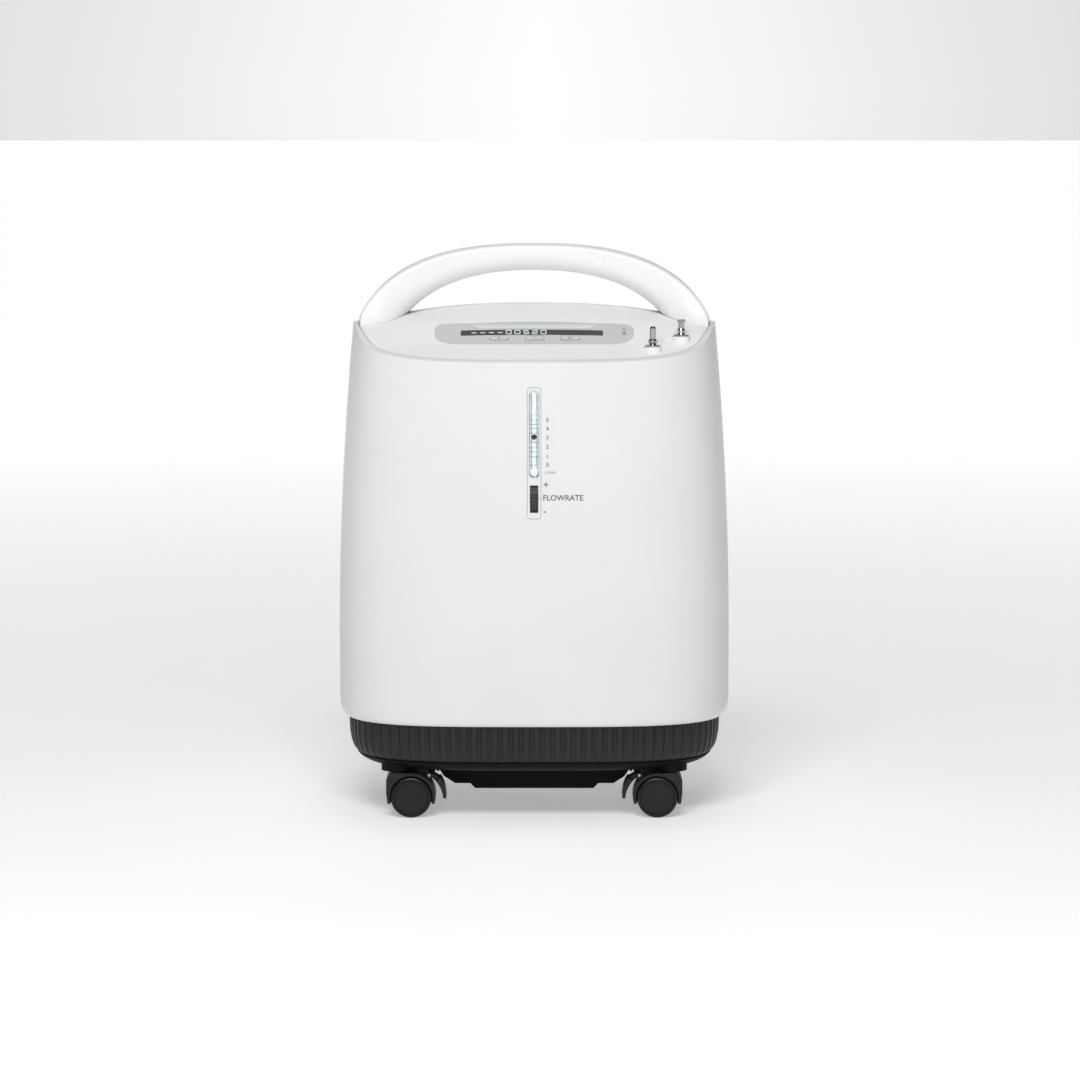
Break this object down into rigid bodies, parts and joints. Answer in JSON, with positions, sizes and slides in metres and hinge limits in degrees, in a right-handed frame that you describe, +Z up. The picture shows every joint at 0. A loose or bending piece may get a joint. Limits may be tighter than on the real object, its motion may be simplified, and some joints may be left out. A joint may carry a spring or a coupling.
{
  "type": "oxygen concentrator",
  "caption": "Upright home oxygen concentrator: rounded white cabinet on twin-wheel casters, arched handle, sloped control deck, flow meter, ribbed skirt and outlets.",
  "frame": {"origin": "on the floor, under the middle of the cabinet", "axes": "+Z up, -Y towards the front with the flow meter, +X towards the side with the gas outlets"},
  "size_m": [0.39, 0.28, 0.5606],
  "materials": {
    "shell_white": "satin gloss",
    "cover_white": "satin gloss",
    "handle_white": "satin gloss",
    "door_white": "satin gloss",
    "panel_grey": "gloss film",
    "key_grey": "satin",
    "display_glass": "tinted window",
    "board_green": "solder mask",
    "bezel_silver": "satin",
    "clear_tube": "clear",
    "ball_black": "polished",
    "dial_black": "knurled",
    "fitting_metal": "polished",
    "base_black": "fine grain",
    "belly_black": "fine grain",
    "caster_black": "satin",
    "wheel_black": "satin",
    "pin_steel": "turned",
    "screw_steel": "zinc",
    "foam_dark": "open-cell foam",
    "silencer_grey": "moulded",
    "socket_black": "moulded",
    "breaker_black": "moulded",
    "breaker_red": "moulded",
    "chassis_steel": "galvanised",
    "box_grey": "foam lined",
    "compressor_alu": "die cast",
    "head_alu": "die cast",
    "rotor_steel": "laminated",
    "mount_rubber": "moulded",
    "fan_black": "moulded",
    "coil_alu": "drawn",
    "bed_alu": "drawn",
    "tank_white": "moulded",
    "valve_alu": "machined",
    "tube_silicone": "silicone"
  },
  "bodies": {
    "cabinet": {"front_shell": "shell_white", "rear_shell": "shell_white", "top_cover": "cover_white", "handle_front": "handle_white", "handle_rear": "handle_white", "control_panel": "panel_grey", "lcd_window": "display_glass", "display_board": "board_green", "flow_bezel": "shell_white", "flow_tube": "clear_tube", "flow_valve_body": "bezel_silver", "oxygen_outlet": "fitting_metal", "nebulizer_outlet": "fitting_metal", "foam_filter": "foam_dark", "intake_silencer": "silencer_grey", "power_inlet": "socket_black", "circuit_breaker": "breaker_black", "base_skirt": "base_black", "base_pan": "base_black", "belly_cover": "belly_black", "case_screws": "screw_steel", "chassis_plate": "chassis_steel", "acoustic_box": "box_grey", "compressor_body": "compressor_alu", "compressor_heads": "head_alu", "compressor_mounts": "mount_rubber", "fan_frame": "fan_black", "cooling_coil": "coil_alu", "sieve_beds": "bed_alu", "product_tank": "tank_white", "valve_manifold": "valve_alu", "main_board": "board_green", "tubing": "tube_silicone"},
    "filter_door": {"filter_door": "door_white"},
    "key_timer_up": {"key_timer_up": "key_grey"},
    "key_timer_down": {"key_timer_down": "key_grey"},
    "key_power": {"key_power": "key_grey"},
    "flow_dial": {"flow_wheel": "dial_black"},
    "flow_ball": {"flow_ball": "ball_black"},
    "breaker_button": {"breaker_button": "breaker_red"},
    "fan_impeller": {"fan_impeller": "fan_black"},
    "compressor_rotor": {"compressor_rotor": "rotor_steel"},
    "caster_fl": {"caster_fl_hood": "caster_black", "caster_fl_pins": "pin_steel"},
    "caster_fl_wheel_front": {"caster_fl_wheel_front": "wheel_black"},
    "caster_fl_wheel_rear": {"caster_fl_wheel_rear": "wheel_black"},
    "caster_fl_brake": {"caster_fl_brake": "caster_black"},
    "caster_fr": {"caster_fr_hood": "caster_black", "caster_fr_pins": "pin_steel"},
    "caster_fr_wheel_front": {"caster_fr_wheel_front": "wheel_black"},
    "caster_fr_wheel_rear": {"caster_fr_wheel_rear": "wheel_black"},
    "caster_fr_brake": {"caster_fr_brake": "caster_black"},
    "caster_rl": {"caster_rl_hood": "caster_black", "caster_rl_pins": "pin_steel"},
    "caster_rl_wheel_front": {"caster_rl_wheel_front": "wheel_black"},
    "caster_rl_wheel_rear": {"caster_rl_wheel_rear": "wheel_black"},
    "caster_rr": {"caster_rr_hood": "caster_black", "caster_rr_pins": "pin_steel"},
    "caster_rr_wheel_front": {"caster_rr_wheel_front": "wheel_black"},
    "caster_rr_wheel_rear": {"caster_rr_wheel_rear": "wheel_black"}
  },
  "joints": [
    {"name": "filter_door_pull", "type": "slide", "parent": "cabinet", "child": "filter_door", "axis": [-1, 0, 0], "range_m": [0, 0.06]},
    {"name": "key_timer_up_press", "type": "slide", "parent": "cabinet", "child": "key_timer_up", "axis": [0, 0.5664, -0.8241], "range_m": [0, 0.0008], "stiffness_N_per_m": 500, "springref_m": -0.001},
    {"name": "key_timer_down_press", "type": "slide", "parent": "cabinet", "child": "key_timer_down", "axis": [0, 0.5664, -0.8241], "range_m": [0, 0.0008], "stiffness_N_per_m": 500, "springref_m": -0.001},
    {"name": "key_power_press", "type": "slide", "parent": "cabinet", "child": "key_power", "axis": [0, 0.5664, -0.8241], "range_m": [0, 0.0008], "stiffness_N_per_m": 500, "springref_m": -0.001},
    {"name": "flow_dial_turn", "type": "hinge", "parent": "cabinet", "child": "flow_dial", "pos_m": [0, -0.1208, 0.3183], "axis": [1, 0, 0], "range_deg": [-360, 360]},
    {"name": "flow_ball_float", "type": "slide", "parent": "cabinet", "child": "flow_ball", "axis": [0, 0, 1], "range_m": [-0.0266, 0.024]},
    {"name": "breaker_reset", "type": "slide", "parent": "cabinet", "child": "breaker_button", "axis": [0, -1, 0], "range_m": [0, 0.003], "stiffness_N_per_m": 400, "springref_m": -0.002},
    {"name": "fan_spin", "type": "hinge", "parent": "cabinet", "child": "fan_impeller", "pos_m": [0, -0.032, 0.25], "axis": [0, 0, 1], "continuous": true},
    {"name": "compressor_spin", "type": "hinge", "parent": "cabinet", "child": "compressor_rotor", "pos_m": [0, -0.032, 0.13], "axis": [1, 0, 0], "continuous": true},
    {"name": "caster_fl_swivel", "type": "hinge", "parent": "cabinet", "child": "caster_fl", "pos_m": [-0.136, -0.095, 0.045], "axis": [0, 0, 1], "continuous": true},
    {"name": "caster_fl_wheel_front_roll", "type": "hinge", "parent": "caster_fl", "child": "caster_fl_wheel_front", "pos_m": [-0.1214, -0.095, 0.02], "axis": [0, 1, 0], "continuous": true},
    {"name": "caster_fl_wheel_rear_roll", "type": "hinge", "parent": "caster_fl", "child": "caster_fl_wheel_rear", "pos_m": [-0.1214, -0.095, 0.02], "axis": [0, 1, 0], "continuous": true},
    {"name": "caster_fl_brake_press", "type": "hinge", "parent": "caster_fl", "child": "caster_fl_brake", "pos_m": [-0.10366, -0.095, 0.04114], "axis": [0, 1, 0], "range_deg": [0, 10]},
    {"name": "caster_fr_swivel", "type": "hinge", "parent": "cabinet", "child": "caster_fr", "pos_m": [0.136, -0.095, 0.045], "axis": [0, 0, 1], "continuous": true},
    {"name": "caster_fr_wheel_front_roll", "type": "hinge", "parent": "caster_fr", "child": "caster_fr_wheel_front", "pos_m": [0.1214, -0.095, 0.02], "axis": [0, 1, 0], "continuous": true},
    {"name": "caster_fr_wheel_rear_roll", "type": "hinge", "parent": "caster_fr", "child": "caster_fr_wheel_rear", "pos_m": [0.1214, -0.095, 0.02], "axis": [0, 1, 0], "continuous": true},
    {"name": "caster_fr_brake_press", "type": "hinge", "parent": "caster_fr", "child": "caster_fr_brake", "pos_m": [0.10366, -0.095, 0.04114], "axis": [0, -1, 0], "range_deg": [0, 10]},
    {"name": "caster_rl_swivel", "type": "hinge", "parent": "cabinet", "child": "caster_rl", "pos_m": [-0.136, 0.095, 0.045], "axis": [0, 0, 1], "continuous": true},
    {"name": "caster_rl_wheel_front_roll", "type": "hinge", "parent": "caster_rl", "child": "caster_rl_wheel_front", "pos_m": [-0.1214, 0.095, 0.02], "axis": [0, 1, 0], "continuous": true},
    {"name": "caster_rl_wheel_rear_roll", "type": "hinge", "parent": "caster_rl", "child": "caster_rl_wheel_rear", "pos_m": [-0.1214, 0.095, 0.02], "axis": [0, 1, 0], "continuous": true},
    {"name": "caster_rr_swivel", "type": "hinge", "parent": "cabinet", "child": "caster_rr", "pos_m": [0.136, 0.095, 0.045], "axis": [0, 0, 1], "continuous": true},
    {"name": "caster_rr_wheel_front_roll", "type": "hinge", "parent": "caster_rr", "child": "caster_rr_wheel_front", "pos_m": [0.1214, 0.095, 0.02], "axis": [0, 1, 0], "continuous": true},
    {"name": "caster_rr_wheel_rear_roll", "type": "hinge", "parent": "caster_rr", "child": "caster_rr_wheel_rear", "pos_m": [0.1214, 0.095, 0.02], "axis": [0, 1, 0], "continuous": true}
  ]
}
